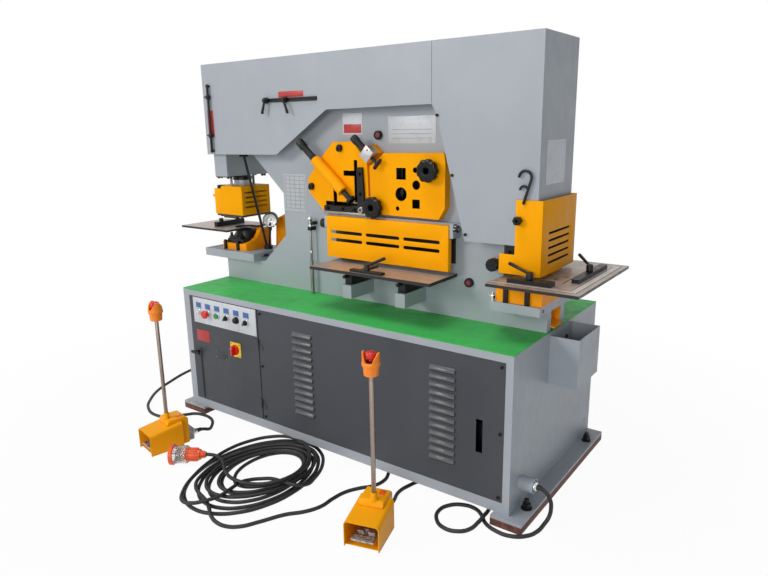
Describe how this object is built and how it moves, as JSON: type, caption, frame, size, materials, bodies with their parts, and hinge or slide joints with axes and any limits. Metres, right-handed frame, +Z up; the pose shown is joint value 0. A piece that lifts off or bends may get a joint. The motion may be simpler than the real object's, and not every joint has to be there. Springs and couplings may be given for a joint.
{
  "type": "hydraulic ironworker",
  "caption": "Floor-standing hydraulic ironworker with punch, section and flat-bar shears, notcher, guards, base cabinet, foot pedals with stop buttons and a coiled power cord",
  "frame": {"origin": "centre of the footprint of machine and pedals, on the floor", "axes": "X right along the front, Y from front to back, Z up"},
  "size_m": [2.5207, 1.579, 1.83],
  "materials": {
    "sheet": "light blue-grey paint, semi-gloss",
    "panel": "dark grey textured paint",
    "yellow": "safety yellow paint, gloss",
    "mat": "green ribbed rubber",
    "blackox": "black oxide",
    "steel": "ground steel with oil film",
    "bright": "bright machined",
    "orange_die": "orange-yellow paint",
    "pedal": "orange paint",
    "treadle": "cast, ribbed",
    "board": "brown stained board",
    "red": "red plastic",
    "green": "green plastic",
    "blackp": "black plastic",
    "plate": "satin plate",
    "cord": "black cable sheath",
    "plug": "orange-red plastic",
    "unit": "blue-grey paint"
  },
  "bodies": {
    "base": {"cabinet_shell": "sheet", "skid_strips": "board", "fasteners": "blackox", "top_mat": "mat", "access_panel": "panel", "scrap_bin": "sheet", "main_frame": "sheet", "arm_cover": "sheet", "right_cover": "sheet", "cylinder_bodies": "sheet", "punch_die_set": "orange_die", "punch_table": "steel", "lamp_arm": "blackox", "shear_plates": "yellow", "angle_holder": "blackox", "bar_table": "steel", "notch_table": "steel", "notch_die_set": "orange_die", "pedal_hood_left": "pedal", "pedal_hood_right": "pedal", "power_cord": "cord", "power_coil": "cord", "pedal_cord_left": "cord", "pedal_cord_right": "cord", "power_plug": "plug", "power_unit": "unit", "front_fittings": "plate"},
    "door": {"electrical_door": "panel", "control_plate": "plate"},
    "door_latch": {"door_latch": "blackp"},
    "stop_button": {"stop_button": "red"},
    "start_button": {"start_button": "green"},
    "selector_left": {"selector_left": "blackp"},
    "mid_button": {"selector_mid": "blackp"},
    "selector_right": {"selector_right": "blackp"},
    "main_switch": {"main_switch": "red"},
    "ram": {"punch_ram": "bright"},
    "beam": {"shear_beam": "blackox"},
    "rod": {"shear_rod": "bright"},
    "angle_screw": {"angle_screw": "blackox"},
    "bar_screw": {"bar_screw": "blackox"},
    "knob_upper": {"knob_upper": "blackp"},
    "knob_lower": {"knob_lower": "blackp"},
    "bar_guard": {"bar_guard": "yellow"},
    "bar_gauge": {"bar_gauge": "blackox"},
    "punch_fence": {"punch_fence": "blackox"},
    "punch_guard": {"punch_guard": "yellow"},
    "lamp": {"lamp_head": "blackox"},
    "notch_guard": {"notch_guard": "yellow"},
    "notch_knob": {"notch_knob": "blackp"},
    "fence_front": {"fence_front": "blackox"},
    "fence_side": {"fence_side": "blackox"},
    "lever_front": {"lever_front": "blackox"},
    "lever_side": {"lever_side": "blackox"},
    "treadle_left": {"pedal_left": "treadle"},
    "treadle_right": {"pedal_right": "treadle"},
    "estop_left": {"estop_left": "red"},
    "estop_right": {"estop_right": "red"},
    "stroke_lever_a": {"stroke_lever_a": "blackox"},
    "stroke_lever_b": {"stroke_lever_b": "blackox"}
  },
  "joints": [
    {"name": "door_swing", "type": "hinge", "parent": "base", "child": "door", "pos_m": [-0.3415, -0.22622, 0.342], "axis": [0, 0, 1], "range_deg": [0, 32]},
    {"name": "latch_turn", "type": "hinge", "parent": "door", "child": "door_latch", "pos_m": [-0.8035, -0.23222, 0.3605], "axis": [0, -1, 0], "range_deg": [0, 90]},
    {"name": "stop_press", "type": "slide", "parent": "door", "child": "stop_button", "axis": [0, 1, 0], "range_m": [0, 0.004], "stiffness_N_per_m": 900, "springref_m": -0.002},
    {"name": "start_press", "type": "slide", "parent": "door", "child": "start_button", "axis": [0, 1, 0], "range_m": [0, 0.004], "stiffness_N_per_m": 900, "springref_m": -0.002},
    {"name": "mid_press", "type": "slide", "parent": "door", "child": "mid_button", "axis": [0, 1, 0], "range_m": [0, 0.004], "stiffness_N_per_m": 900, "springref_m": -0.002},
    {"name": "selector_left_turn", "type": "hinge", "parent": "door", "child": "selector_left", "pos_m": [-0.5625, -0.23522, 0.582], "axis": [0, -1, 0], "range_deg": [0, 90]},
    {"name": "selector_right_turn", "type": "hinge", "parent": "door", "child": "selector_right", "pos_m": [-0.4185, -0.23522, 0.582], "axis": [0, -1, 0], "range_deg": [0, 90]},
    {"name": "main_switch_turn", "type": "hinge", "parent": "door", "child": "main_switch", "pos_m": [-0.5125, -0.23022, 0.423], "axis": [0, -1, 0], "range_deg": [0, 90]},
    {"name": "punch_stroke", "type": "slide", "parent": "base", "child": "ram", "axis": [0, 0, -1], "range_m": [0, 0.08]},
    {"name": "beam_swing", "type": "hinge", "parent": "base", "child": "beam", "pos_m": [-0.2785, 0.17978, 1.072], "axis": [0, 1, 0], "range_deg": [0, 3.5]},
    {"name": "rod_stroke", "type": "slide", "parent": "base", "child": "rod", "axis": [0, 0, -1], "range_m": [0, 0.0594]},
    {"name": "angle_screw_feed", "type": "slide", "parent": "base", "child": "angle_screw", "axis": [0.7604, 0, -0.6494], "range_m": [-0.014, 0]},
    {"name": "bar_screw_feed", "type": "slide", "parent": "base", "child": "bar_screw", "axis": [0.7524, 0, -0.6587], "range_m": [-0.03, 0]},
    {"name": "knob_upper_turn", "type": "hinge", "parent": "base", "child": "knob_upper", "pos_m": [0.4785, 0.01978, 1.326], "axis": [0, -1, 0], "continuous": true},
    {"name": "knob_lower_turn", "type": "hinge", "parent": "base", "child": "knob_lower", "pos_m": [0.1895, 0.01978, 1.157], "axis": [0, -1, 0], "continuous": true},
    {"name": "bar_guard_swing", "type": "hinge", "parent": "base", "child": "bar_guard", "pos_m": [0.2485, 0.03178, 1.092], "axis": [-1, 0, 0], "range_deg": [0, 50]},
    {"name": "bar_gauge_slide", "type": "slide", "parent": "base", "child": "bar_gauge", "axis": [1, 0, 0], "range_m": [-0.2, 0.3]},
    {"name": "punch_fence_slide", "type": "slide", "parent": "base", "child": "punch_fence", "axis": [1, 0, 0], "range_m": [-0.18, 0.03]},
    {"name": "punch_guard_lift", "type": "slide", "parent": "base", "child": "punch_guard", "axis": [0, 0, 1], "range_m": [0, 0.05]},
    {"name": "lamp_swivel", "type": "hinge", "parent": "base", "child": "lamp", "pos_m": [-0.6485, 0.19478, 0.982], "axis": [0, 0, 1], "range_deg": [-100, 25]},
    {"name": "notch_guard_lift", "type": "slide", "parent": "base", "child": "notch_guard", "axis": [0, 0, 1], "range_m": [0, 0.055]},
    {"name": "notch_knob_turn", "type": "hinge", "parent": "notch_guard", "child": "notch_knob", "pos_m": [0.7685, 0.05978, 0.956], "axis": [0, -1, 0], "continuous": true},
    {"name": "fence_front_slide", "type": "slide", "parent": "base", "child": "fence_front", "axis": [0, 1, 0], "range_m": [-0.05, 0.005]},
    {"name": "fence_side_slide", "type": "slide", "parent": "base", "child": "fence_side", "axis": [1, 0, 0], "range_m": [-0.035, 0.05]},
    {"name": "lever_front_turn", "type": "hinge", "parent": "fence_front", "child": "lever_front", "pos_m": [0.9695, -0.03822, 0.962], "axis": [0, 0, 1], "range_deg": [0, 100]},
    {"name": "lever_side_turn", "type": "hinge", "parent": "fence_side", "child": "lever_side", "pos_m": [1.1095, 0.21978, 0.962], "axis": [0, 0, 1], "range_deg": [-90, 0]},
    {"name": "treadle_left_press", "type": "hinge", "parent": "base", "child": "treadle_left", "pos_m": [-0.66147, -0.54306, 0.03], "axis": [0.9781, -0.2079, 0], "range_deg": [0, 9], "stiffness_Nm_per_rad": 3, "springref_deg": -20.05},
    {"name": "treadle_right_press", "type": "hinge", "parent": "base", "child": "treadle_right", "pos_m": [0.58776, -0.53295, 0.03], "axis": [0.9636, 0.2672, 0], "range_deg": [0, 9], "stiffness_Nm_per_rad": 3, "springref_deg": -20.05},
    {"name": "estop_left_press", "type": "slide", "parent": "base", "child": "estop_left", "axis": [0, 0, -1], "range_m": [0, 0.008]},
    {"name": "estop_right_press", "type": "slide", "parent": "base", "child": "estop_right", "axis": [0, 0, -1], "range_m": [0, 0.008]},
    {"name": "stroke_lever_a_slide", "type": "slide", "parent": "base", "child": "stroke_lever_a", "axis": [1, 0, 0], "range_m": [0, 0.09]},
    {"name": "stroke_lever_b_slide", "type": "slide", "parent": "base", "child": "stroke_lever_b", "axis": [1, 0, 0], "range_m": [0, 0.15]}
  ],
  "couplings": [
    {"joint": "rod_stroke", "follows": "beam_swing", "m_per_rad": 0.9708}
  ]
}
